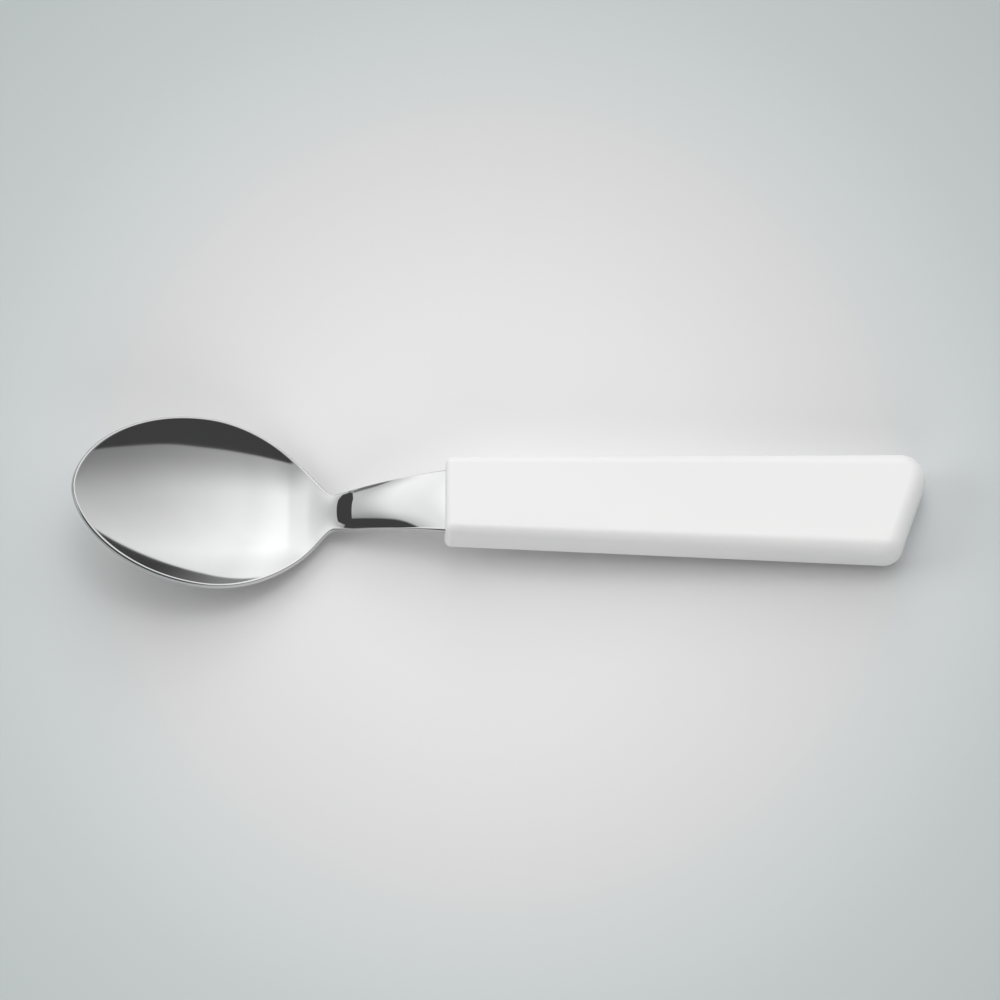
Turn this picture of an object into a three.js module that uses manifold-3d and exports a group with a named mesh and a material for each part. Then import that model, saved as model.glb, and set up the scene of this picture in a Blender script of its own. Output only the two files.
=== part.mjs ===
// Teaspoon with a polished steel bowl and a white moulded handle.
// Millimetres, +Z up. The spoon lies bowl-up with its tip toward -X and its tail toward +X.
// It rests on the underside of the bowl and on the tail of the handle.
// A station is a distance along +X from the middle of the rim at the tip.
import * as THREE from 'three';
import { mergeVertices } from 'three/addons/utils/BufferGeometryUtils.js';
import Module from 'manifold-3d';

const { degToRad, lerp, smoothstep, clamp } = THREE.MathUtils;

// Bowl: an egg outline in a flat rim plane that is pitched tip-up
const tipToWidest = 22.55;
const widestToHeel = 21.7;
const bowlWidth = 32.3;
const bowlDepth = 4.4;
const tipTaper = 0.55;
const heelTaper = 0.805;
const floorFade = 0.25;
const rimPitch = degToRad(17.05);
const rimThickness = 0.9;
const bowlThickness = 1.3;
const edgeSquareness = 4;

// Neck: from the heel of the bowl to the front face of the handle
const neckLength = 20.45;
const neckWaist = 6.5;
const neckEndWidth = 11.7;
const shoulderReach = 1.2;
const shoulderBlend = 2.6;
const heelLift = 1.2;
const heelBlend = 3.4;
const rimBlend = 4.3;
const neckEndSlope = 0.01;
const neckThickness = 2.6;
const neckEdgeThickness = 0.7;
const neckEdgeReach = 0.15;
const crownStart = 1.45;
const crownRun = 3.3;
const crownEase = 0.15;
const crownFade = 9.0;

// Tang: the flat end of the steel inside the handle, with holes that the handle fills
const tangLength = 46.0;
const tangWidth = 8.6;
const tangThickness = 2.0;
const tangShoulder = 6.0;
const keyHoleDiameter = 3.4;
const keyHoleFirst = 16.0;
const keyHoleSpacing = 16.0;
const keyHoleCount = 2;

// Handle: a tapered slab with rounded edges and a slanted tail
const handleLength = 82.7;
const handleFrontWidth = 14.6;
const handleTailWidth = 20.0;
const handleThickness = 8.1;
const handlePitch = degToRad(2.65);
const tailSlant = degToRad(18.4);
const frontEdgeRadius = 1.1;
const sideEdgeRadius = 1.65;
const tailEdgeRadius = 2.8;
const frontCornerRadius = 1.3;
const tailNearCornerRadius = 3.6;
const tailFarCornerRadius = 4.4;
const edgeShareLimit = 0.48;

// Room between the steel and the plastic round it
const clearance = 0.3;

// Fineness of the facets
const tipSteps = 14;
const backSteps = 17;
const heelSteps = 9;
const neckSteps = 8;
const mouthSteps = 2;
const tangSteps = 6;
const crossSteps = 16;
const rimSteps = 4;
const cornerSteps = 6;
const filletSteps = 5;
const roundSides = 24;
const mergeDistance = 1e-4;

const bowlHalf = (bowlWidth - rimThickness) / 2;
const heelStation = tipToWidest + widestToHeel;
const frontStation = heelStation + neckLength;
const tangEnd = frontStation + tangLength;
const rimSlope = Math.tan(rimPitch);

const wasm = await Module();
wasm.setup();

// Largest of two lengths, rounded off where they come within the blend of each other
function smoothMax(a, b, blend) {
  const overlap = Math.max(blend - Math.abs(a - b), 0);
  return Math.max(a, b) + overlap * overlap / (4 * blend);
}

// Surface through closed loops of points, all with the same count, open at both ends
function loft(loops) {
  const count = loops[0].length;
  const points = loops.flat();
  const index = [];
  for (let row = 0; row + 1 < loops.length; row += 1) {
    for (let i = 0; i < count; i += 1) {
      const a = row * count + i;
      const b = row * count + (i + 1) % count;
      index.push(a, b, b + count, a, b + count, a + count);
    }
  }
  return { points, index, count };
}

// Fan of triangles over one loop of a loft, from the loop's own centre
function cap(surface, row, outward) {
  const start = row * surface.count;
  const loop = surface.points.slice(start, start + surface.count);
  const centre = loop.reduce((sum, p) => sum.add(p), new THREE.Vector3()).divideScalar(surface.count);
  const hub = surface.points.push(centre) - 1;
  for (let i = 0; i < surface.count; i += 1) {
    const a = start + i;
    const b = start + (i + 1) % surface.count;
    surface.index.push(hub, outward ? a : b, outward ? b : a);
  }
}

// Plain geometry from the points and triangles of a lofted surface
function toGeometry({ points, index }) {
  const geometry = new THREE.BufferGeometry().setFromPoints(points);
  geometry.setIndex(index);
  return geometry;
}

// Closed solid from a geometry whose meeting corners are merged
function toSolid(geometry) {
  const bare = geometry.clone();
  bare.deleteAttribute('normal');
  bare.deleteAttribute('uv');
  const merged = mergeVertices(bare, mergeDistance);
  const corners = Array.from(merged.index.array);
  const triangles = [];
  for (let i = 0; i < corners.length; i += 3) {
    const [a, b, c] = corners.slice(i, i + 3);
    if (a !== b && b !== c && c !== a) triangles.push(a, b, c);
  }
  return new wasm.Manifold(new wasm.Mesh({
    numProp: 3,
    vertProperties: new Float32Array(merged.attributes.position.array),
    triVerts: new Uint32Array(triangles),
  }));
}

// Geometry with its own normals from a closed solid
function fromSolid(solid) {
  const mesh = solid.getMesh();
  const geometry = new THREE.BufferGeometry();
  geometry.setAttribute('position', new THREE.BufferAttribute(mesh.vertProperties, 3));
  geometry.setIndex(new THREE.BufferAttribute(mesh.triVerts, 1));
  geometry.computeVertexNormals();
  return geometry;
}

// One corner of the handle: its arc in plan, the tighter arc left on the flat faces, and the edge radii.
// The radius given before is that of the side that leads to the corner, after that of the next side.
function roundedCorner(previous, corner, next) {
  const here = new THREE.Vector2(corner.x, corner.y);
  const inTurn = new THREE.Vector2(corner.x - previous.x, corner.y - previous.y).normalize();
  const outTurn = new THREE.Vector2(next.x - corner.x, next.y - corner.y).normalize();
  const first = new THREE.Vector2(inTurn.y, -inTurn.x);
  const last = new THREE.Vector2(outTurn.y, -outTurn.x);
  const cosine = first.dot(last);
  const turn = Math.acos(cosine);
  const inside = (fromFirst, fromLast) => here.clone()
    .addScaledVector(first, (fromLast * cosine - fromFirst) / Math.sin(turn) ** 2)
    .addScaledVector(last, (fromFirst * cosine - fromLast) / Math.sin(turn) ** 2);
  const faceRadius = Math.max(corner.radius - Math.max(corner.before, corner.after), 0);
  const centre = inside(corner.radius, corner.radius);
  const faceCentre = inside(corner.before + faceRadius, corner.after + faceRadius);
  return Array.from({ length: cornerSteps + 1 }, (_, step) => {
    const share = step / cornerSteps;
    const out = first.clone().rotateAround(new THREE.Vector2(), turn * share);
    return {
      at: centre.clone().addScaledVector(out, corner.radius),
      face: faceCentre.clone().addScaledVector(out, faceRadius),
      edge: lerp(corner.before, corner.after, share),
    };
  });
}

// Handle outline in plan, counter-clockwise: each point, its place on the flat faces, its edge radius.
// Local x runs along the handle from its front face, y to the far side.
function handleOutline() {
  const frontHalf = handleFrontWidth / 2;
  const tailHalf = handleTailWidth / 2;
  const nearTail = handleLength - tailHalf * Math.tan(tailSlant);
  const farTail = handleLength + tailHalf * Math.tan(tailSlant);
  const edgeLimit = edgeShareLimit * handleThickness;
  const front = Math.min(frontEdgeRadius, edgeLimit);
  const side = Math.min(sideEdgeRadius, edgeLimit);
  const tail = Math.min(tailEdgeRadius, edgeLimit);
  const corners = [
    { x: 0, y: -frontHalf, radius: frontCornerRadius, before: front, after: side },
    { x: nearTail, y: -tailHalf, radius: tailNearCornerRadius, before: tail, after: tail },
    { x: farTail, y: tailHalf, radius: tailFarCornerRadius, before: tail, after: tail },
    { x: 0, y: frontHalf, radius: frontCornerRadius, before: side, after: front },
  ];
  return corners.flatMap((corner, i) => {
    return roundedCorner(corners.at(i - 1), corner, corners[(i + 1) % corners.length]);
  });
}

// Slab with every edge rounded: rings of the outline drawn in toward the top and bottom faces
function handleSlab() {
  const outline = handleOutline();
  const rings = [];
  const ring = (angle, side) => outline.map(({ at, face, edge }) => {
    const plan = at.clone().lerp(face, 1 - Math.cos(angle));
    const height = handleThickness / 2 - edge * (1 - Math.sin(angle));
    return new THREE.Vector3(plan.x, plan.y, side * height);
  });
  for (let step = filletSteps; step >= 0; step -= 1) {
    rings.push(ring(Math.PI / 2 * step / filletSteps, -1));
  }
  for (let step = 0; step <= filletSteps; step += 1) {
    rings.push(ring(Math.PI / 2 * step / filletSteps, 1));
  }
  const surface = loft(rings);
  cap(surface, 0, false);
  cap(surface, rings.length - 1, true);
  return toGeometry(surface);
}

// Heights at which the spoon lies on a table
const slabGeometry = handleSlab();
const slabAtPitch = slabGeometry.clone().rotateY(handlePitch);
slabAtPitch.computeBoundingBox();
const axisHeight = -slabAtPitch.boundingBox.min.z;
const bowlStations = steelStations().filter((s) => s < heelStation);
const lowestFloor = Math.max(...bowlStations.map((s) => rimSlope * s + bowlDepth * floorShare(s)));
const tipHeight = lowestFloor + bowlThickness / 2;

// Rim plane, and the arc on which the neck climbs from the heel to the handle
const rimHeight = (s) => tipHeight - rimSlope * s;
const climb = axisHeight - neckEndSlope * neckLength - rimHeight(heelStation) - heelLift;
const neckBend = climb / neckLength ** 2;

// Height of the neck's middle line, which bends at the handle to run along it as the tang
function neckHeight(s) {
  const past = s - frontStation;
  if (past <= 0) return axisHeight + neckEndSlope * past - neckBend * past * past;
  const bent = Math.min(past, tangShoulder);
  const turn = neckEndSlope + Math.tan(handlePitch);
  const straight = (past - bent) * (neckEndSlope - turn);
  return axisHeight + neckEndSlope * bent - turn * bent * bent / (2 * tangShoulder) + straight;
}

// Share of the neck's own section at a station: an even rise with eased ends, just past the heel
function crownShare(s) {
  const along = clamp((s - heelStation - crownStart) / crownRun, 0, 1);
  const eased = 2 * crownEase * (1 - crownEase);
  if (along < crownEase) return along ** 2 / eased;
  if (along > 1 - crownEase) return 1 - (1 - along) ** 2 / eased;
  return (along - crownEase / 2) / (1 - crownEase);
}

// Share of the tang's section at a station
const fadeShare = (s) => smoothstep(s, frontStation - crownFade, frontStation + tangShoulder);

// How far the edge reaches out past the faces: as far as it is half thick, but less on the neck
function edgeReach(s) {
  const open = lerp(rimThickness / 2, neckEdgeReach, crownShare(s));
  return lerp(open, tangThickness / 2, fadeShare(s));
}

// Half width of the neck and the tang, to where the edge begins
function neckHalfWidth(s) {
  const along = clamp((s - heelStation) / neckLength, 0, 1);
  const neckWidth = lerp(neckWaist, neckEndWidth, along);
  const inside = smoothstep(s, frontStation, frontStation + tangShoulder);
  return lerp(neckWidth, tangWidth, inside) / 2 - edgeReach(s);
}

// Share of the way from the widest station to the tip, or to the end of the given reach behind it
function eggShare(s, reach) {
  return Math.abs(s - tipToWidest) / (s < tipToWidest ? tipToWidest : reach);
}

// Half width of the steel, to where its edge begins
function halfWidth(s) {
  const taper = s < tipToWidest ? tipTaper : heelTaper;
  const share = eggShare(s, widestToHeel + shoulderReach);
  const egg = bowlHalf * Math.max(1 - share ** 2, 0) ** taper;
  return s < tipToWidest ? egg : smoothMax(egg, neckHalfWidth(s), shoulderBlend);
}

// Share of the bowl's depth along its middle, from none at the tip to a soft end at the heel
function floorShare(s) {
  const inside = 1 - eggShare(s, widestToHeel) ** 2;
  return s < tipToWidest ? Math.max(inside, 0) : smoothMax(inside, 0, floorFade);
}

// Height of the middle of the steel's thickness: the bowl's rim and floor both run out into the neck
function midHeight(s, y) {
  const edge = smoothMax(rimHeight(s), neckHeight(s), rimBlend);
  const centre = smoothMax(rimHeight(s) - bowlDepth * floorShare(s), neckHeight(s), heelBlend);
  return edge + (centre - edge) * (1 - (y / halfWidth(s)) ** 2);
}

// Half of the steel's thickness, thinner at the edge than in the middle
function halfThickness(s, across) {
  const bowl = s < tipToWidest ? lerp(rimThickness, bowlThickness, floorShare(s)) : bowlThickness;
  const edge = lerp(rimThickness, neckEdgeThickness, crownShare(s));
  const middle = lerp(bowl, neckThickness, crownShare(s));
  const edgeHalf = lerp(edge, tangThickness, fadeShare(s)) / 2;
  const middleHalf = lerp(middle, tangThickness, fadeShare(s)) / 2;
  return lerp(middleHalf, edgeHalf, across * across);
}

// Slopes are taken over a short step, just inside the tip where the outline closes
const slopeStep = 0.01;

// Direction square to the middle of the steel's thickness
function surfaceNormal(station, y) {
  const s = Math.max(station, 2 * slopeStep);
  const alongX = (midHeight(s + slopeStep, y) - midHeight(s - slopeStep, y)) / (2 * slopeStep);
  const alongY = (midHeight(s, y + slopeStep) - midHeight(s, y - slopeStep)) / (2 * slopeStep);
  return new THREE.Vector3(-alongX, -alongY, 1).normalize();
}

// Direction in which the edge faces, square to the edge and to the surface normal
function edgeDirection(s, side, normal) {
  const plan = new THREE.Vector3(-1, 0, 0);
  if (s > 0) {
    const widening = (halfWidth(s + slopeStep) - halfWidth(s - slopeStep)) / (2 * slopeStep);
    plan.set(-widening, side, 0);
  }
  const along = new THREE.Vector3(-plan.y, plan.x, 0);
  along.z = -(normal.x * along.x + normal.y * along.y) / normal.z;
  return along.cross(normal).normalize();
}

// Sine or cosine that draws a square with rounded corners in place of a circle
const squared = (value) => Math.sign(value) * Math.abs(value) ** (2 / edgeSquareness);

// One loop round the steel: over the top, round the -Y edge, back underneath, round the +Y edge
function steelLoop(s, grow) {
  const half = halfWidth(s);
  const middle = (y) => new THREE.Vector3(s, y, half > 0 ? midHeight(s, y) : rimHeight(s));
  const face = (across, sign) => {
    const y = across * half;
    const lift = sign * (halfThickness(s, across) + grow);
    return middle(y).addScaledVector(surfaceNormal(s, y), lift);
  };
  const edge = (side, angle) => {
    const y = side * half;
    const normal = surfaceNormal(s, y);
    const outward = (edgeReach(s) + grow) * squared(Math.cos(angle));
    const upward = (halfThickness(s, 1) + grow) * squared(Math.sin(angle));
    const out = edgeDirection(s, side, normal);
    return middle(y).addScaledVector(out, outward).addScaledVector(normal, upward);
  };
  const loop = [];
  for (let i = 0; i <= crossSteps; i += 1) loop.push(face(1 - 2 * i / crossSteps, 1));
  for (let i = 1; i < rimSteps; i += 1) loop.push(edge(-1, Math.PI * (0.5 - i / rimSteps)));
  for (let i = 0; i <= crossSteps; i += 1) loop.push(face(2 * i / crossSteps - 1, -1));
  for (let i = 1; i < rimSteps; i += 1) loop.push(edge(1, Math.PI * (i / rimSteps - 0.5)));
  return loop;
}

// Evenly spaced stations from one place to another, without the first
function stationsBetween(from, to, steps) {
  return Array.from({ length: steps }, (_, i) => lerp(from, to, (i + 1) / steps));
}

// Stations at which the steel is cut, closest together at the tip and at the heel
function steelStations() {
  const crownEnd = heelStation + crownStart + crownRun;
  const tip = Array.from({ length: tipSteps + 1 }, (_, i) => {
    return tipToWidest * (1 - Math.cos(Math.PI / 2 * i / tipSteps));
  });
  return [
    ...tip,
    ...stationsBetween(tipToWidest, heelStation, backSteps),
    ...stationsBetween(heelStation, crownEnd, heelSteps),
    ...stationsBetween(crownEnd, frontStation, neckSteps),
    ...stationsBetween(frontStation, tangEnd, tangSteps),
  ];
}

// Steel without its key holes; the loops close by themselves at the tip
function steelBlank() {
  const loops = steelStations().map((s) => steelLoop(s, 0));
  const surface = loft(loops);
  cap(surface, loops.length - 1, true);
  return toGeometry(surface);
}

// Room for the tang: the same section, grown by the clearance, open through the front face
function socketSpace() {
  const mouth = frontStation - handleThickness / 2;
  const stations = [
    mouth,
    ...stationsBetween(mouth, frontStation, mouthSteps),
    ...stationsBetween(frontStation, tangEnd + clearance, tangSteps),
  ];
  const surface = loft(stations.map((s) => steelLoop(s, clearance)));
  cap(surface, 0, false);
  cap(surface, stations.length - 1, true);
  return toGeometry(surface);
}

// Round bars square to the handle, where the plastic goes through the tang
function keyBars(diameter, height) {
  return Array.from({ length: keyHoleCount }, (_, i) => {
    const bar = new THREE.CylinderGeometry(diameter / 2, diameter / 2, height, roundSides);
    bar.rotateX(Math.PI / 2);
    bar.rotateY(handlePitch);
    const s = frontStation + keyHoleFirst + keyHoleSpacing * i;
    return bar.translate(s, 0, neckHeight(s));
  });
}

function steelGeometry() {
  let solid = toSolid(steelBlank());
  for (const bar of keyBars(keyHoleDiameter, handleThickness)) solid = solid.subtract(toSolid(bar));
  return fromSolid(solid);
}

function handleGeometry() {
  const slab = slabAtPitch.clone().translate(frontStation, 0, axisHeight);
  const pinLength = (tangThickness + handleThickness) / 2;
  let solid = toSolid(slab).subtract(toSolid(socketSpace()));
  for (const bar of keyBars(keyHoleDiameter - 2 * clearance, pinLength)) solid = solid.add(toSolid(bar));
  return fromSolid(solid);
}

const polishedSteel = new THREE.MeshStandardMaterial({ color: 0xc9cccd, roughness: 0.08, metalness: 1 });
const whitePlastic = new THREE.MeshStandardMaterial({ color: 0xeeeeec, roughness: 0.3, metalness: 0 });

const steel = new THREE.Mesh(steelGeometry(), polishedSteel);
steel.name = 'steel_spoon';
const handle = new THREE.Mesh(handleGeometry(), whitePlastic);
handle.name = 'handle';

const teaspoon = new THREE.Group();
teaspoon.add(steel, handle);

// Origin under the middle of the spoon, on the table
const extent = new THREE.Box3().setFromObject(teaspoon);
teaspoon.position.set(-(extent.min.x + extent.max.x) / 2, 0, -extent.min.z);

export default teaspoon;
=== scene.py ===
import math

import bmesh
import bpy
import numpy as np
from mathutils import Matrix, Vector


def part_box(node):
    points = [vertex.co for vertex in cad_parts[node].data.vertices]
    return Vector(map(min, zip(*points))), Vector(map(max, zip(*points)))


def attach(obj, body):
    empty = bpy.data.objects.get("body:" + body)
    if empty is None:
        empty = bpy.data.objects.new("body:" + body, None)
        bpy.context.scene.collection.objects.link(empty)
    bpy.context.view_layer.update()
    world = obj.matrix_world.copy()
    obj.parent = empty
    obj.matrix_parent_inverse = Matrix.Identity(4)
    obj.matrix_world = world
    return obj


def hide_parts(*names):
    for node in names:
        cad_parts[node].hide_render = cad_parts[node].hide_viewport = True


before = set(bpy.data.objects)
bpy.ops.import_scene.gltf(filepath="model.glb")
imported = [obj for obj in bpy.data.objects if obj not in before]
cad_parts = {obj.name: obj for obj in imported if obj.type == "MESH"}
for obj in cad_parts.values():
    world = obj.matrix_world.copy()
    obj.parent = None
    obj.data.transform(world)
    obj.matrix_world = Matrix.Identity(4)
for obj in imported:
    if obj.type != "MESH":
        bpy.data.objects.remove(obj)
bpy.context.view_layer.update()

# Sizes are in millimetres until a mesh is made.
# A station is a distance along +X from the tip of the bowl's rim.
MM = 0.001

# Bowl: an egg outline in a flat rim plane that is pitched tip-up
TIP_TO_WIDEST = 22.55
WIDEST_TO_HEEL = 21.7
BOWL_WIDTH = 32.3
BOWL_DEPTH = 4.4
TIP_TAPER = 0.55
HEEL_TAPER = 0.805
FLOOR_FADE = 0.25
RIM_PITCH = math.radians(17.05)
RIM_THICKNESS = 0.9
BOWL_THICKNESS = 1.3
EDGE_SQUARENESS = 4

# Neck: from the heel of the bowl to the front face of the handle
NECK_LENGTH = 20.45
NECK_WAIST = 6.5
NECK_END_WIDTH = 11.7
SHOULDER_REACH = 1.2
SHOULDER_BLEND = 2.6
HEEL_LIFT = 1.2
HEEL_BLEND = 3.4
RIM_BLEND = 4.3
NECK_END_SLOPE = 0.01
NECK_THICKNESS = 2.6
NECK_EDGE_THICKNESS = 0.7
NECK_EDGE_REACH = 0.15
CROWN_START = 1.45
CROWN_RUN = 3.3
CROWN_EASE = 0.15
CROWN_FADE = 9.0

# Tang: the flat end of the steel inside the handle
TANG_LENGTH = 46.0
TANG_WIDTH = 8.6
TANG_THICKNESS = 2.0
TANG_SHOULDER = 6.0

# Handle: a tapered slab with rounded edges and a slanted tail
HANDLE_LENGTH = 82.7
HANDLE_FRONT_WIDTH = 14.6
HANDLE_TAIL_WIDTH = 20.0
HANDLE_THICKNESS = 8.1
HANDLE_PITCH = math.radians(2.65)
TAIL_SLANT = math.radians(18.4)
FRONT_EDGE_RADIUS = 1.1
SIDE_EDGE_RADIUS = 1.65
TAIL_EDGE_RADIUS = 2.8
FRONT_CORNER_RADIUS = 1.3
TAIL_NEAR_CORNER_RADIUS = 3.6
TAIL_FAR_CORNER_RADIUS = 4.4

# The plastic is moulded onto the steel, so only a hairline is left between them
FIT_GAP = 0.02

# Fineness of the meshes
TIP_STEPS = 110
BACK_STEPS = 110
HEEL_STEPS = 60
NECK_STEPS = 70
TANG_STEPS = 24
CROSS_STEPS = 96
RIM_STEPS = 14
CORNER_STEPS = 20
FILLET_STEPS = 18
FACE_BORDER = 0.25
SHARP_ANGLE = math.radians(40)
SLOPE_STEP = 0.01
LEAST_HALF_WIDTH = 1e-9
MERGE_METRES = 1e-8

# Sizes that follow from the ones above
BOWL_HALF = (BOWL_WIDTH - RIM_THICKNESS) / 2
HEEL_STATION = TIP_TO_WIDEST + WIDEST_TO_HEEL
FRONT_STATION = HEEL_STATION + NECK_LENGTH
TANG_END = FRONT_STATION + TANG_LENGTH
RIM_SLOPE = math.tan(RIM_PITCH)


def lerp(a, b, share):
    return a + (b - a) * share


def smooth_step(x, low, high):
    t = np.clip((x - low) / (high - low), 0, 1)
    return t * t * (3 - 2 * t)


def smooth_max(a, b, blend):
    """Larger of two values, rounded off where they come within the blend of each other."""
    overlap = np.maximum(blend - np.abs(a - b), 0)
    return np.maximum(a, b) + overlap * overlap / (4 * blend)


def unit(vectors):
    return vectors / np.linalg.norm(vectors, axis=-1, keepdims=True)


def rounded_corner(previous, corner, following):
    """One corner of the handle in plan.

    A corner is given by its place, its radius, and the radii of the edges that run in and out.
    Returns its outline, the rim and the border of the flat faces there, and the edge radii.
    """
    x, y, radius, edge_before, edge_after = corner
    here = np.array((x, y))
    before = unit(here - np.array(previous[:2]))
    after = unit(np.array(following[:2]) - here)
    first = np.array((before[1], -before[0]))
    last = np.array((after[1], -after[0]))
    cosine = first @ last

    def inside(from_first, from_last):
        along_first = (from_last * cosine - from_first) * first
        along_last = (from_first * cosine - from_last) * last
        return here + (along_first + along_last) / (1 - cosine ** 2)

    share = np.linspace(0, 1, CORNER_STEPS + 1)[:, None]
    angle = math.acos(cosine) * share
    out = np.cos(angle) * first + np.sin(angle) * np.array((-first[1], first[0]))
    face_radius = max(radius - max(edge_before, edge_after), 0)
    face_before, face_after = edge_before + face_radius, edge_after + face_radius
    arcs = (
        inside(radius, radius) + radius * out,
        inside(face_before, face_after) + face_radius * out,
        inside(face_before + FACE_BORDER, face_after + FACE_BORDER) + face_radius * out,
    )
    edges = lerp(edge_before, edge_after, share)
    lead, trail = -before * FACE_BORDER, after * FACE_BORDER
    rows = [np.vstack([arc[:1] + lead, arc, arc[-1:] + trail]) for arc in arcs]
    return (*rows, np.vstack([edges[:1], edges, edges[-1:]]))


def handle_outline():
    """Plan of the handle, counter-clockwise: outline, rim and border of the flat faces, edge radii."""
    reach = HANDLE_TAIL_WIDTH / 2 * math.tan(TAIL_SLANT)
    near_tail, far_tail = HANDLE_LENGTH - reach, HANDLE_LENGTH + reach
    front_half, tail_half = HANDLE_FRONT_WIDTH / 2, HANDLE_TAIL_WIDTH / 2
    corners = (
        (0, -front_half, FRONT_CORNER_RADIUS, FRONT_EDGE_RADIUS, SIDE_EDGE_RADIUS),
        (near_tail, -tail_half, TAIL_NEAR_CORNER_RADIUS, TAIL_EDGE_RADIUS, TAIL_EDGE_RADIUS),
        (far_tail, tail_half, TAIL_FAR_CORNER_RADIUS, TAIL_EDGE_RADIUS, TAIL_EDGE_RADIUS),
        (0, front_half, FRONT_CORNER_RADIUS, SIDE_EDGE_RADIUS, FRONT_EDGE_RADIUS),
    )
    following = corners[1:] + corners[:1]
    previous = corners[-1:] + corners[:-1]
    made = [rounded_corner(*three) for three in zip(previous, corners, following)]
    return [np.vstack(rows) for rows in zip(*made)]


def handle_rings():
    """Rings of the slab from its bottom face to its top face, pitched about the front face."""
    outline, face, border, edges = handle_outline()
    half = HANDLE_THICKNESS / 2

    def ring(angle, side, down=0.0):
        plan = lerp(outline, face, 1 - math.cos(angle))
        return np.hstack([plan, side * (half - edges * (1 - math.sin(angle)) - down)])

    angles = np.linspace(0, math.pi / 2, FILLET_STEPS + 1)
    level = np.full_like(edges, half)
    rings = [np.hstack([border, -level])]
    rings += [ring(a, -1) for a in angles[::-1]]
    rings += [ring(0, -1, FACE_BORDER), ring(0, 1, FACE_BORDER)]
    rings += [ring(a, 1) for a in angles]
    rings += [np.hstack([border, level])]
    rings = np.array(rings)
    c, s = math.cos(HANDLE_PITCH), math.sin(HANDLE_PITCH)
    x, z = rings[..., 0].copy(), rings[..., 2].copy()
    rings[..., 0] = c * x + s * z
    rings[..., 2] = c * z - s * x
    return rings


def steel_stations():
    crown_end = HEEL_STATION + CROWN_START + CROWN_RUN
    return np.concatenate([
        TIP_TO_WIDEST * (1 - np.cos(np.linspace(0, math.pi / 2, TIP_STEPS + 1))),
        np.linspace(TIP_TO_WIDEST, HEEL_STATION, BACK_STEPS + 1)[1:],
        np.linspace(HEEL_STATION, crown_end, HEEL_STEPS + 1)[1:],
        np.linspace(crown_end, FRONT_STATION, NECK_STEPS + 1)[1:],
        np.linspace(FRONT_STATION, TANG_END, TANG_STEPS + 1)[1:],
    ])


def egg_share(s, reach):
    """Share of the way from the widest station to the tip, or to the end of a reach behind it."""
    return np.abs(s - TIP_TO_WIDEST) / np.where(s < TIP_TO_WIDEST, TIP_TO_WIDEST, reach)


def floor_share(s):
    """Share of the bowl's depth along its middle, from none at the tip to a soft end at the heel."""
    inside = 1 - egg_share(s, WIDEST_TO_HEEL) ** 2
    return np.where(s < TIP_TO_WIDEST, np.maximum(inside, 0), smooth_max(inside, 0, FLOOR_FADE))


# Heights at which the spoon lies on a table
stations = steel_stations()
HANDLE_RINGS = handle_rings()
AXIS_HEIGHT = -HANDLE_RINGS[..., 2].min()
in_bowl = stations[stations < HEEL_STATION]
TIP_HEIGHT = np.max(RIM_SLOPE * in_bowl + BOWL_DEPTH * floor_share(in_bowl)) + BOWL_THICKNESS / 2


def rim_height(s):
    return TIP_HEIGHT - RIM_SLOPE * s


NECK_CLIMB = AXIS_HEIGHT - NECK_END_SLOPE * NECK_LENGTH - rim_height(HEEL_STATION) - HEEL_LIFT
NECK_BEND = NECK_CLIMB / NECK_LENGTH ** 2


def neck_height(s):
    """Height of the neck's middle line, which bends at the handle to run along it as the tang."""
    past = s - FRONT_STATION
    climbing = AXIS_HEIGHT + NECK_END_SLOPE * past - NECK_BEND * past * past
    bent = np.clip(past, 0, TANG_SHOULDER)
    turn = NECK_END_SLOPE + math.tan(HANDLE_PITCH)
    straight = (past - bent) * (NECK_END_SLOPE - turn)
    inside = AXIS_HEIGHT + NECK_END_SLOPE * bent - turn * bent * bent / (2 * TANG_SHOULDER) + straight
    return np.where(past <= 0, climbing, inside)


def crown_share(s):
    """Share of the neck's own section: an even rise with eased ends, just past the heel."""
    along = np.clip((s - HEEL_STATION - CROWN_START) / CROWN_RUN, 0, 1)
    eased = 2 * CROWN_EASE * (1 - CROWN_EASE)
    even = (along - CROWN_EASE / 2) / (1 - CROWN_EASE)
    late = np.where(along > 1 - CROWN_EASE, 1 - (1 - along) ** 2 / eased, even)
    return np.where(along < CROWN_EASE, along ** 2 / eased, late)


def fade_share(s):
    return smooth_step(s, FRONT_STATION - CROWN_FADE, FRONT_STATION + TANG_SHOULDER)


def edge_reach(s):
    """How far the edge reaches out past the faces: as far as it is half thick, but less on the neck."""
    open_part = lerp(RIM_THICKNESS / 2, NECK_EDGE_REACH, crown_share(s))
    return lerp(open_part, TANG_THICKNESS / 2, fade_share(s))


def neck_half_width(s):
    along = np.clip((s - HEEL_STATION) / NECK_LENGTH, 0, 1)
    neck_width = lerp(NECK_WAIST, NECK_END_WIDTH, along)
    inside = smooth_step(s, FRONT_STATION, FRONT_STATION + TANG_SHOULDER)
    return lerp(neck_width, TANG_WIDTH, inside) / 2 - edge_reach(s)


def half_width(s):
    """Half width of the steel, to where its edge begins."""
    taper = np.where(s < TIP_TO_WIDEST, TIP_TAPER, HEEL_TAPER)
    share = egg_share(s, WIDEST_TO_HEEL + SHOULDER_REACH)
    egg = BOWL_HALF * np.maximum(1 - share ** 2, 0) ** taper
    return np.where(s < TIP_TO_WIDEST, egg, smooth_max(egg, neck_half_width(s), SHOULDER_BLEND))


def mid_height(s, y):
    """Height of the middle of the steel's thickness, where rim and floor both run into the neck."""
    edge = smooth_max(rim_height(s), neck_height(s), RIM_BLEND)
    centre = smooth_max(rim_height(s) - BOWL_DEPTH * floor_share(s), neck_height(s), HEEL_BLEND)
    across = y / np.maximum(half_width(s), LEAST_HALF_WIDTH)
    return edge + (centre - edge) * (1 - across ** 2)


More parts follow.
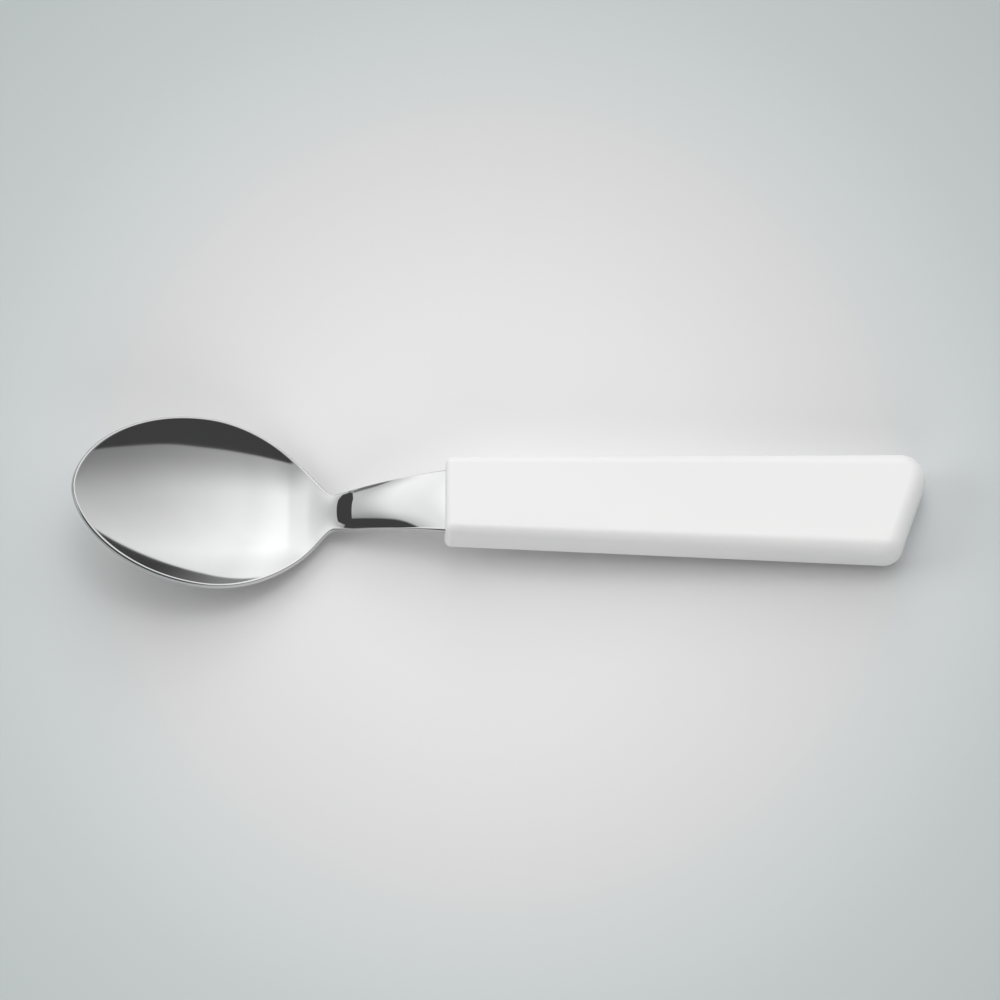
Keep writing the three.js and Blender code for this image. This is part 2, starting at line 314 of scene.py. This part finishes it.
def half_thickness(s, across):
    crown, fade = crown_share(s), fade_share(s)
    tip_part = lerp(RIM_THICKNESS, BOWL_THICKNESS, floor_share(s))
    bowl = np.where(s < TIP_TO_WIDEST, tip_part, BOWL_THICKNESS)
    edge = lerp(RIM_THICKNESS, NECK_EDGE_THICKNESS, crown)
    middle = lerp(bowl, NECK_THICKNESS, crown)
    middle, edge = lerp(middle, TANG_THICKNESS, fade), lerp(edge, TANG_THICKNESS, fade)
    return lerp(middle, edge, across * across) / 2


def surface_normal(stations, y):
    s = np.maximum(stations, 2 * SLOPE_STEP)
    along_x = (mid_height(s + SLOPE_STEP, y) - mid_height(s - SLOPE_STEP, y)) / (2 * SLOPE_STEP)
    along_y = (mid_height(s, y + SLOPE_STEP) - mid_height(s, y - SLOPE_STEP)) / (2 * SLOPE_STEP)
    return unit(np.stack([-along_x, -along_y, np.ones_like(s)], axis=-1))


def edge_direction(s, side, normal):
    """Direction in which the edge faces, square to the edge and to the surface normal."""
    tip = s <= 0
    step = np.where(tip, SLOPE_STEP, np.minimum(SLOPE_STEP, s / 2))
    widening = (half_width(s + step) - half_width(s - step)) / (2 * step)
    plan_x = np.where(tip, -1.0, -widening)
    plan_y = np.where(tip, 0.0, side)
    along_z = (normal[:, 0] * plan_y - normal[:, 1] * plan_x) / normal[:, 2]
    return unit(np.cross(np.stack([-plan_y, plan_x, along_z], axis=-1), normal))


def squared(value):
    """Sine or cosine that draws a square with rounded corners in place of a circle."""
    return math.copysign(abs(value) ** (2 / EDGE_SQUARENESS), value)


def steel_loops(stations, grow=0.0):
    """Closed loops round the steel: over the top, the -Y edge, back underneath, the +Y edge."""
    half = half_width(stations)
    tip = half <= 0

    def middle(y):
        height = np.where(tip, rim_height(stations), mid_height(stations, y))
        return np.stack([stations, y, height], axis=-1)

    def face(across, sign):
        y = across * half
        lift = sign * (half_thickness(stations, across) + grow)
        return middle(y) + surface_normal(stations, y) * lift[:, None]

    def edge(side, angle):
        y = side * half
        normal = surface_normal(stations, y)
        outward = (edge_reach(stations) + grow) * squared(math.cos(angle))
        upward = (half_thickness(stations, 1.0) + grow) * squared(math.sin(angle))
        out = edge_direction(stations, side, normal)
        return middle(y) + out * outward[:, None] + normal * upward[:, None]

    shares = np.sin(np.linspace(-math.pi / 2, math.pi / 2, CROSS_STEPS + 1))
    angles = np.linspace(math.pi / 2, -math.pi / 2, RIM_STEPS + 1)[1:-1]
    loop = [face(a, 1) for a in shares[::-1]]
    loop += [edge(-1, a) for a in angles]
    loop += [face(a, -1) for a in shares]
    loop += [edge(1, a) for a in angles[::-1]]
    return np.stack(loop, axis=1)


def loft_mesh(name, loops, cap_first, cap_last):
    """Mesh through closed loops of points in the row frame, with either end closed by one face."""
    mesh = bmesh.new()
    rows = [[mesh.verts.new(Vector(p) * MM) for p in loop] for loop in loops]
    count = len(rows[0])
    for low, high in zip(rows, rows[1:]):
        for i in range(count):
            j = (i + 1) % count
            mesh.faces.new((low[i], low[j], high[j], high[i]))
    if cap_first:
        mesh.faces.new(rows[0][::-1])
    if cap_last:
        mesh.faces.new(rows[-1])
    bmesh.ops.remove_doubles(mesh, verts=mesh.verts, dist=MERGE_METRES)
    bmesh.ops.dissolve_degenerate(mesh, edges=mesh.edges, dist=MERGE_METRES)
    bmesh.ops.recalc_face_normals(mesh, faces=mesh.faces)
    data = bpy.data.meshes.new(name)
    mesh.to_mesh(data)
    mesh.free()
    data.shade_smooth()
    piece = bpy.data.objects.new(name, data)
    bpy.context.scene.collection.objects.link(piece)
    return piece


def row_frame(points):
    """Stations to the row frame, whose origin is under the middle of the spoon."""
    return points + np.array((frame_shift, 0.0, 0.0))


loops = steel_loops(stations)
frame_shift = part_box("steel_spoon")[0].x / MM - loops[..., 0].min()


# Materials: colours are linear, scales are per metre, and low and high are the ends of a variation
NOISE_RANGE = (0.15, 0.85)

STEEL_LOW = (0.587, 0.59, 0.59)
STEEL_HIGH = (0.617, 0.62, 0.62)
STEEL_ROUGHNESS = (0.04, 0.075)
HAZE_SCALE = 160
HAIRLINE_SCALE = 1400
HAIRLINE_STRETCH = (0.06, 1, 1)
HAIRLINE_STRENGTH = 0.05
HAIRLINE_DEPTH = 0.00001

PLASTIC_LOW = (0.795, 0.798, 0.795)
PLASTIC_HIGH = (0.845, 0.845, 0.84)
PLASTIC_ROUGHNESS = (0.26, 0.36)
FLOW_SCALE = 45
FLOW_STRETCH = (0.4, 1, 1)
GRAIN_SCALE = 5200
GRAIN_STRENGTH = 0.12
GRAIN_DEPTH = 0.00003

PLAIN_DETAIL = 2.0
FINE_DETAIL = 3.0


def new_material(name):
    material = bpy.data.materials.new(name)
    material.use_nodes = True
    nodes = material.node_tree.nodes
    return material, nodes, material.node_tree.links, nodes["Principled BSDF"]


def noise(nodes, links, scale, stretch=(1, 1, 1), detail=PLAIN_DETAIL):
    """Noise over the object in metres; a larger stretch makes it finer along that axis."""
    place = nodes.new("ShaderNodeTexCoord")
    mapping = nodes.new("ShaderNodeMapping")
    mapping.inputs["Scale"].default_value = stretch
    texture = nodes.new("ShaderNodeTexNoise")
    texture.inputs["Scale"].default_value = scale
    texture.inputs["Detail"].default_value = detail
    links.new(place.outputs["Object"], mapping.inputs["Vector"])
    links.new(mapping.outputs["Vector"], texture.inputs["Vector"])
    return texture.outputs["Fac"]


def vary_roughness(nodes, links, shader, value, low, high):
    spread = nodes.new("ShaderNodeMapRange")
    spread.inputs["From Min"].default_value = NOISE_RANGE[0]
    spread.inputs["From Max"].default_value = NOISE_RANGE[1]
    spread.inputs["To Min"].default_value = low
    spread.inputs["To Max"].default_value = high
    links.new(value, spread.inputs["Value"])
    links.new(spread.outputs["Result"], shader.inputs["Roughness"])


def vary_colour(nodes, links, shader, value, low, high):
    spread = nodes.new("ShaderNodeValToRGB")
    for element, place, colour in zip(spread.color_ramp.elements, NOISE_RANGE, (low, high)):
        element.position = place
        element.color = (*colour, 1)
    links.new(value, spread.inputs["Fac"])
    links.new(spread.outputs["Color"], shader.inputs["Base Color"])


def add_bump(nodes, links, shader, value, strength, depth):
    bump = nodes.new("ShaderNodeBump")
    bump.inputs["Strength"].default_value = strength
    bump.inputs["Distance"].default_value = depth
    links.new(value, bump.inputs["Height"])
    links.new(bump.outputs["Normal"], shader.inputs["Normal"])


def polished_steel():
    """Mirror polish with a faint haze and hairlines left by the buffing wheel along the spoon."""
    material, nodes, links, shader = new_material("polished_steel")
    shader.inputs["Metallic"].default_value = 1.0
    haze = noise(nodes, links, HAZE_SCALE)
    hairlines = noise(nodes, links, HAIRLINE_SCALE, HAIRLINE_STRETCH, FINE_DETAIL)
    vary_colour(nodes, links, shader, haze, STEEL_LOW, STEEL_HIGH)
    vary_roughness(nodes, links, shader, haze, *STEEL_ROUGHNESS)
    add_bump(nodes, links, shader, hairlines, HAIRLINE_STRENGTH, HAIRLINE_DEPTH)
    return material


def white_plastic():
    """Moulded plastic, faintly uneven in tone and gloss, with a fine grain."""
    material, nodes, links, shader = new_material("white_plastic")
    flow = noise(nodes, links, FLOW_SCALE, FLOW_STRETCH, FINE_DETAIL)
    grain = noise(nodes, links, GRAIN_SCALE)
    vary_colour(nodes, links, shader, flow, PLASTIC_LOW, PLASTIC_HIGH)
    vary_roughness(nodes, links, shader, flow, *PLASTIC_ROUGHNESS)
    add_bump(nodes, links, shader, grain, GRAIN_STRENGTH, GRAIN_DEPTH)
    return material


# Pieces

def add_piece(piece, node, material):
    piece.data.materials.append(material)
    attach(piece, "root")
    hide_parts(node)


def cut_socket(piece):
    """Take the room for the neck and the tang out of the handle."""
    mouth = FRONT_STATION - HANDLE_THICKNESS / 2
    before = np.linspace(mouth, FRONT_STATION, TANG_STEPS + 1)[:-1]
    inside = np.linspace(FRONT_STATION, TANG_END + FIT_GAP, TANG_STEPS + 1)
    loops = steel_loops(np.concatenate([before, inside]), FIT_GAP)
    room = loft_mesh("socket_room", row_frame(loops), True, True)
    cut = piece.modifiers.new("socket", "BOOLEAN")
    cut.operation = "DIFFERENCE"
    cut.solver = "EXACT"
    cut.object = room
    whole = piece.evaluated_get(bpy.context.evaluated_depsgraph_get())
    piece.data = bpy.data.meshes.new_from_object(whole)
    piece.modifiers.clear()
    bpy.data.objects.remove(room)
    piece.data.set_sharp_from_angle(angle=SHARP_ANGLE)


steel = loft_mesh("steel", row_frame(loops), False, True)
add_piece(steel, "steel_spoon", polished_steel())

handle_points = HANDLE_RINGS + np.array((FRONT_STATION, 0.0, AXIS_HEIGHT))
grip = loft_mesh("grip", row_frame(handle_points), True, True)
cut_socket(grip)
add_piece(grip, "handle", white_plastic())


# View: the photograph's angle, taken from far off; lengths in metres
VIEW_ELEVATION = math.radians(66.0)
VIEW_WIDTH = 0.175
VIEW_DISTANCE = 2.0
VIEW_TARGET = Vector((0.0001, 0, 0.0086))

# Floor: a pale sheet whose colour darkens softly away from the middle of the view, a fall-off of the
# light painted into it as painted shade.
# Each tone has its distance, in widths and heights of the view, and its linear colour.
FLOOR_SIZE = 40
FLOOR_CENTRE_Y = 0.00383
FLOOR_REACH = (VIEW_WIDTH, VIEW_WIDTH / math.sin(VIEW_ELEVATION))
FLOOR_ROUGHNESS = 0.9
FLOOR_PAINTED_FALLOFF = (
    (0.0, (0.825, 0.825, 0.825)),
    (0.2, (0.77, 0.77, 0.77)),
    (0.385, (0.662, 0.664, 0.663)),
    (0.43, (0.614, 0.642, 0.648)),
    (0.55, (0.539, 0.576, 0.578)),
    (0.71, (0.478, 0.515, 0.517)),
)


def floor_material():
    material, nodes, links, shader = new_material("floor")
    place = nodes.new("ShaderNodeTexCoord")
    spread = nodes.new("ShaderNodeVectorMath")
    spread.operation = "MULTIPLY"
    spread.inputs[1].default_value = (1 / FLOOR_REACH[0], 1 / FLOOR_REACH[1], 0)
    distance = nodes.new("ShaderNodeVectorMath")
    distance.operation = "LENGTH"
    # Painted shade: the ramp paints the light's fall-off into the floor colour, bright in the middle of
    # the view and darker and bluer further out
    ramp = nodes.new("ShaderNodeValToRGB")
    links.new(place.outputs["Object"], spread.inputs[0])
    links.new(spread.outputs["Vector"], distance.inputs[0])
    links.new(distance.outputs["Value"], ramp.inputs["Fac"])
    links.new(ramp.outputs["Color"], shader.inputs["Base Color"])
    elements = ramp.color_ramp.elements
    while len(elements) < len(FLOOR_PAINTED_FALLOFF):
        elements.new(0.5)
    for element, (away, colour) in zip(elements, FLOOR_PAINTED_FALLOFF):
        element.position = away
        element.color = (*colour, 1)
    shader.inputs["Roughness"].default_value = FLOOR_ROUGHNESS
    shader.inputs["Specular IOR Level"].default_value = 0.0
    return material


bpy.ops.mesh.primitive_plane_add(size=FLOOR_SIZE, location=(0, FLOOR_CENTRE_Y, 0))
floor = bpy.context.object
floor.name = "floor"
floor.data.materials.append(floor_material())


# Light: one wide soft panel overhead in a dim room, seen by direction along the spoon's own axes.
# An edge or a cut is a plane through the spoon, given by its normal, and the panel is on that side of it.
# A cut bends the edge that it is named with, over its blend.

# Levels of the panel: overhead, at the back, on a lighter ridge from front to back, and at the far right
PANEL_OVERHEAD = 1.095
PANEL_BACK = 1.47
RIDGE_PLACE = 0.077
RIDGE_WIDTH = 0.2
RIDGE_GAIN = 1.16
RIGHT_FROM = 0.26
RIGHT_LEVEL = 0.42

# Left end of the panel, and its level there
LEFT_EDGE = (1.0, 0.03, 1.46)
LEFT_CUT = (1.0, 0.6, 0.4)
LEFT_BLEND = 0.1
LEFT_SHARPNESS = 0.02
LEFT_FADE = (1.0, 0.3, 0.86)
LEFT_FADE_WIDTH = 0.4
LEFT_LEVEL = 0.545

# Near end, its level there, and a lower near edge, the flank, that shows in the side of the neck
NEAR_EDGE = (-0.05, 1.0, 0.345)
NEAR_CUT = (-0.36, 1.0, 0.624)
NEAR_BLEND = 0.06
NEAR_SHARPNESS = 0.012
NEAR_FADE_WIDTH = 0.49
NEAR_LEVEL = 0.48
FLANK_EDGE = (0.0, 1.0, 0.14)
FLANK_CUT = (0.5, 1.0, 0.38)
FLANK_BLEND = 0.08
FLANK_SHARPNESS = 0.03

# Far end, low at the back, its level there, and a weak glow beyond it
FAR_EDGE = (0.09, -1.0, 4.06)
FAR_CUT = (-1.66, -1.0, 0.71)
FAR_BLEND = 0.2
FAR_SHARPNESS = 0.05
FAR_FADE_REACH = (0.77, 0.94)
FAR_LEVEL = 0.8
FAR_GLOW_REACH = (0.2, 0.47)
FAR_GLOW = 0.23

# Dim room beyond the panel, with a soft glow low at the front right and far out at the left
ROOM_GLOW = 0.075
FRONT_GLOW = 0.6
FRONT_GLOW_AIM = (0.7, -0.7, 0.0)
FRONT_GLOW_REACH = (0.77, 0.92)
LEFT_GLOW = 0.9
LEFT_GLOW_REACH = (-1.00, -0.94)

# Soft lamps all round fill the matt surfaces: place and size in metres, power in watts
LAMPS = {
    "left_lamp": ((-1.0, 0.05, 0.50), 0.6, 4.3),
    "right_lamp": ((1.0, 0.10, 0.45), 0.5, 0.7),
    "front_lamp": ((0.0, -1.0, 0.40), 0.6, 3.0),
    "top_lamp": ((0.0, 0.35, 1.10), 0.4, 1.1),
    "back_lamp": ((0.0, 1.00, 0.45), 0.4, 1.2),
}


def soft_world():
    """World whose strength, by direction, is the panel's light and the room's."""
    world = bpy.data.worlds.new("studio")
    bpy.context.scene.world = world
    world.use_nodes = True
    nodes, links = world.node_tree.nodes, world.node_tree.links
    background = nodes["Background"]
    background.inputs["Color"].default_value = (1, 1, 1, 1)
    place = nodes.new("ShaderNodeTexCoord")

    def dot(direction):
        node = nodes.new("ShaderNodeVectorMath")
        node.operation = "DOT_PRODUCT"
        links.new(place.outputs["Generated"], node.inputs[0])
        node.inputs[1].default_value = direction
        return node.outputs["Value"]

    def ramp(value, low, high, from_value=0.0, to_value=1.0, kind="SMOOTHSTEP"):
        node = nodes.new("ShaderNodeMapRange")
        node.interpolation_type = kind
        links.new(value, node.inputs["Value"])
        node.inputs["From Min"].default_value = low
        node.inputs["From Max"].default_value = high
        node.inputs["To Min"].default_value = from_value
        node.inputs["To Max"].default_value = to_value
        return node.outputs["Result"]

    def join(operation, a, b, blend=0.0):
        node = nodes.new("ShaderNodeMath")
        node.operation = operation
        links.new(a, node.inputs[0])
        links.new(b, node.inputs[1])
        node.inputs[2].default_value = blend
        return node.outputs["Value"]

    def edge(value, sharpness):
        return ramp(value, -sharpness, sharpness)

    across, along = dot((1, 0, 0)), dot((0, 1, 0))
    left = join("SMOOTH_MAX", dot(LEFT_EDGE), dot(LEFT_CUT), LEFT_BLEND)
    near = join("SMOOTH_MIN", dot(NEAR_EDGE), dot(NEAR_CUT), NEAR_BLEND)
    flank = join("SMOOTH_MAX", dot(FLANK_EDGE), dot(FLANK_CUT), FLANK_BLEND)
    far = join("SMOOTH_MAX", dot(FAR_EDGE), dot(FAR_CUT), FAR_BLEND)
    far_glow = ramp(across, *FAR_GLOW_REACH, FAR_GLOW, 0.0)
    panel = ramp(along, -1.0, 1.0, 2 * PANEL_OVERHEAD - PANEL_BACK, PANEL_BACK, "LINEAR")
    for share in (
        ramp(across, RIDGE_PLACE - RIDGE_WIDTH, RIDGE_PLACE, 1.0, RIDGE_GAIN),
        ramp(across, RIDGE_PLACE, RIDGE_PLACE + RIDGE_WIDTH, 1.0, 1 / RIDGE_GAIN),
        ramp(across, RIGHT_FROM, 1.0, 1.0, RIGHT_LEVEL),
        edge(left, LEFT_SHARPNESS),
        ramp(dot(LEFT_FADE), 0.0, LEFT_FADE_WIDTH, LEFT_LEVEL, 1.0),
        edge(near, NEAR_SHARPNESS),
        ramp(near, 0.0, NEAR_FADE_WIDTH, NEAR_LEVEL, 1.0),
        edge(flank, FLANK_SHARPNESS),
        join("MAXIMUM", edge(far, FAR_SHARPNESS), far_glow),
        ramp(along, *FAR_FADE_REACH, 1.0, FAR_LEVEL),
    ):
        panel = join("MULTIPLY", panel, share)
    room = join("ADD", ramp(dot(FRONT_GLOW_AIM), *FRONT_GLOW_REACH, ROOM_GLOW, FRONT_GLOW),
                ramp(across, *LEFT_GLOW_REACH, LEFT_GLOW, 0.0))
    links.new(join("ADD", panel, room), background.inputs["Strength"])


def add_lamp(name, place, size, power):
    """Square lamp that faces the spoon and lights it without showing in the steel."""
    data = bpy.data.lights.new(name, "AREA")
    data.size = size
    data.energy = power
    lamp = bpy.data.objects.new(name, data)
    lamp.location = place
    lamp.rotation_euler = Vector(place).to_track_quat("Z", "Y").to_euler()
    lamp.visible_glossy = False
    bpy.context.scene.collection.objects.link(lamp)


soft_world()
for lamp_name, lamp_sizes in LAMPS.items():
    add_lamp(lamp_name, *lamp_sizes)


# Camera with a long lens

def add_camera():
    data = bpy.data.cameras.new("camera")
    data.lens = data.sensor_width * VIEW_DISTANCE / VIEW_WIDTH
    camera = bpy.data.objects.new("camera", data)
    away = Vector((0, -math.cos(VIEW_ELEVATION), math.sin(VIEW_ELEVATION)))
    camera.location = VIEW_TARGET + away * VIEW_DISTANCE
    camera.rotation_euler = (math.pi / 2 - VIEW_ELEVATION, 0, 0)
    bpy.context.scene.collection.objects.link(camera)
    bpy.context.scene.camera = camera


add_camera()
bpy.context.scene.view_settings.view_transform = "Standard"
